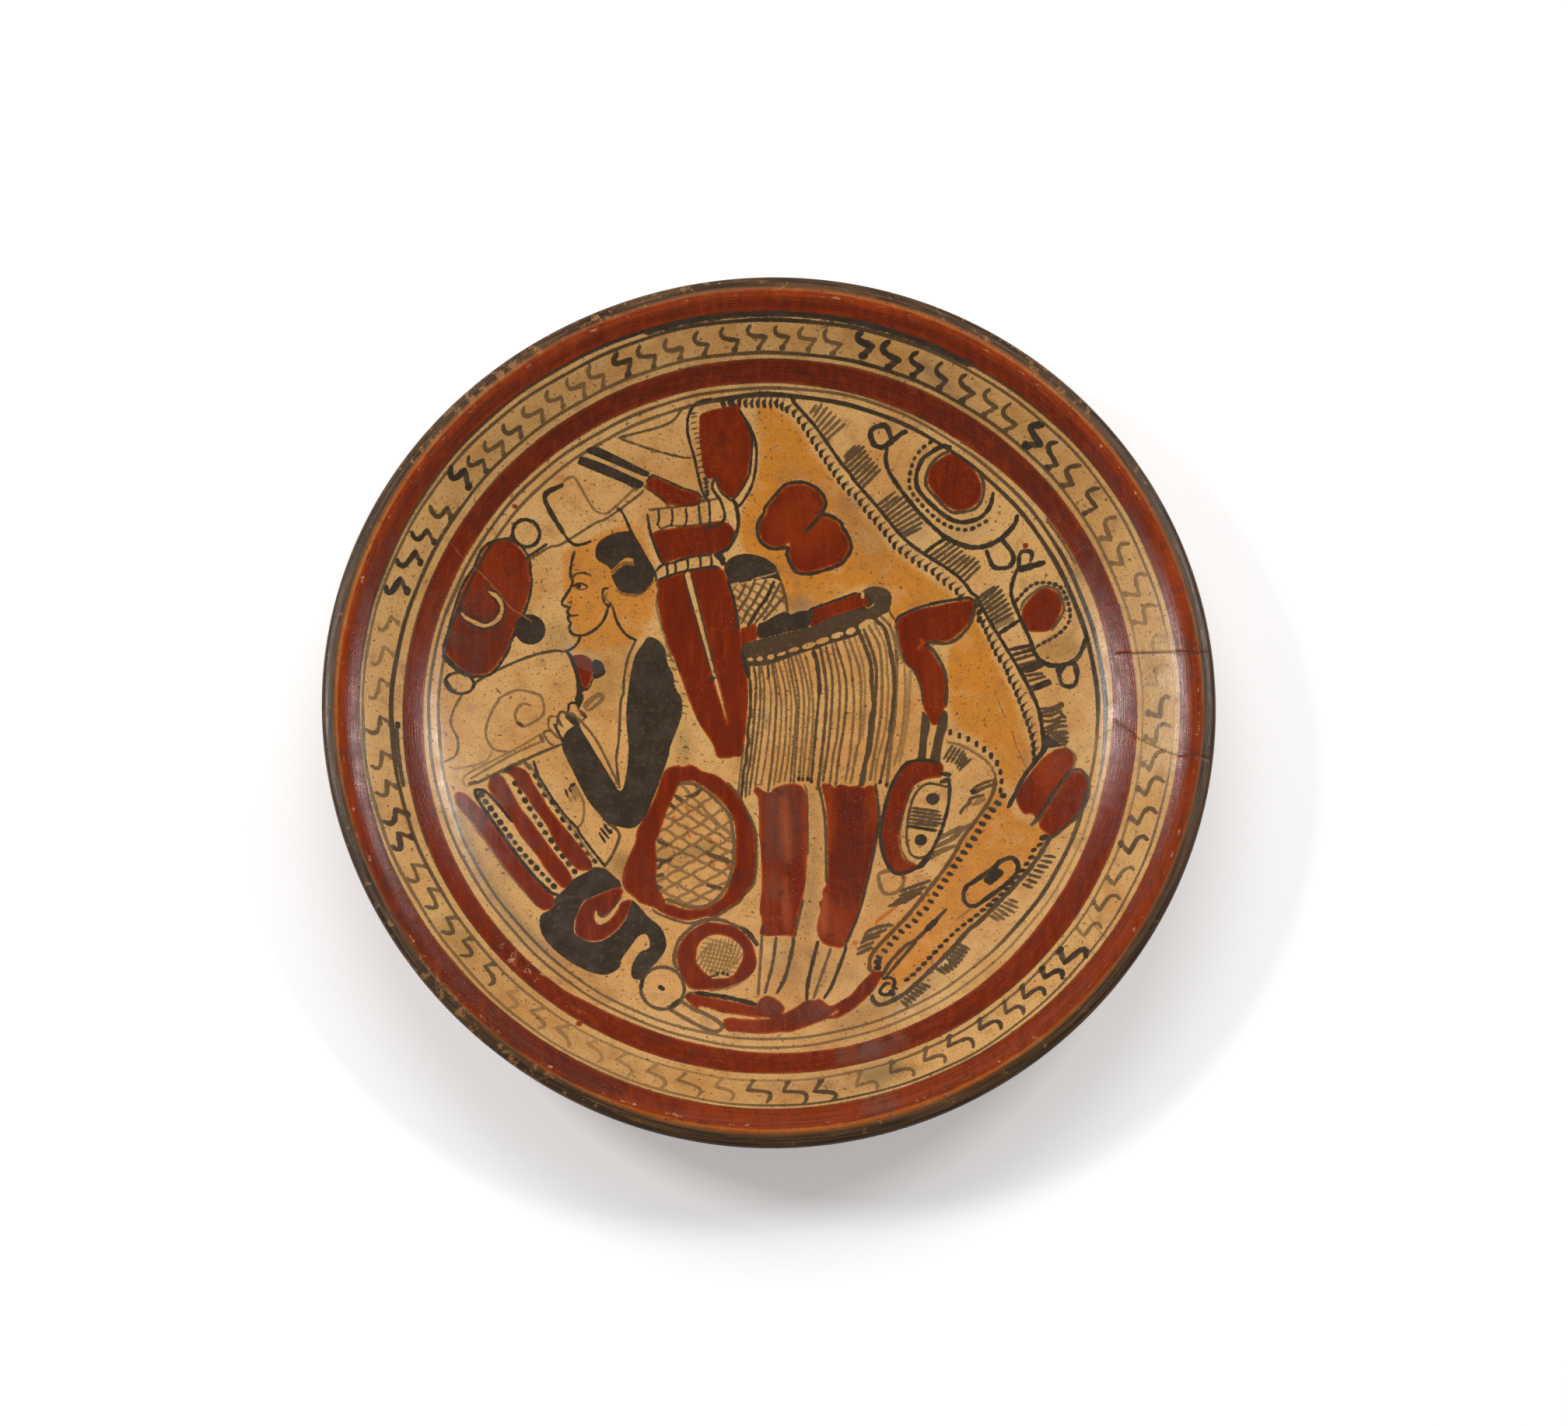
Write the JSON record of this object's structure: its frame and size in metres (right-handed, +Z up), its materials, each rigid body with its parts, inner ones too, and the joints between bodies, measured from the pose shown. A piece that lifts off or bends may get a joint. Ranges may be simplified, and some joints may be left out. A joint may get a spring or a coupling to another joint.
{
  "type": "polychrome pottery plate",
  "caption": "Wide shallow plate of slip-painted fired clay with a raised rim, mended from broken sherds with filled losses, painted inside with bands and figures.",
  "frame": {"origin": "middle of the bounding box's bottom: the centre of the flat base, on the surface that the plate stands on", "axes": "+Z up out of the open side; -Y towards the edge at the bottom of the painting, +X to the painting's right"},
  "size_m": [0.2996, 0.3008, 0.0376],
  "materials": {
    "painted_pottery": "burnished slip, soft gloss: cream and orange ground with red-brown and black painting",
    "tinted_filler": "matt olive-brown filler, toned to the slip"
  },
  "bodies": {
    "root": {"sherd_right": "painted_pottery", "sherd_upper_right": "painted_pottery", "sherd_top": "painted_pottery", "sherd_left": "painted_pottery", "sherd_lower_left": "painted_pottery", "sherd_bottom": "painted_pottery", "sherd_lower_right": "painted_pottery", "sherd_floor": "painted_pottery", "fill_left_of_floor": "tinted_filler", "fill_bottom_band": "tinted_filler"}
  },
  "joints": []
}
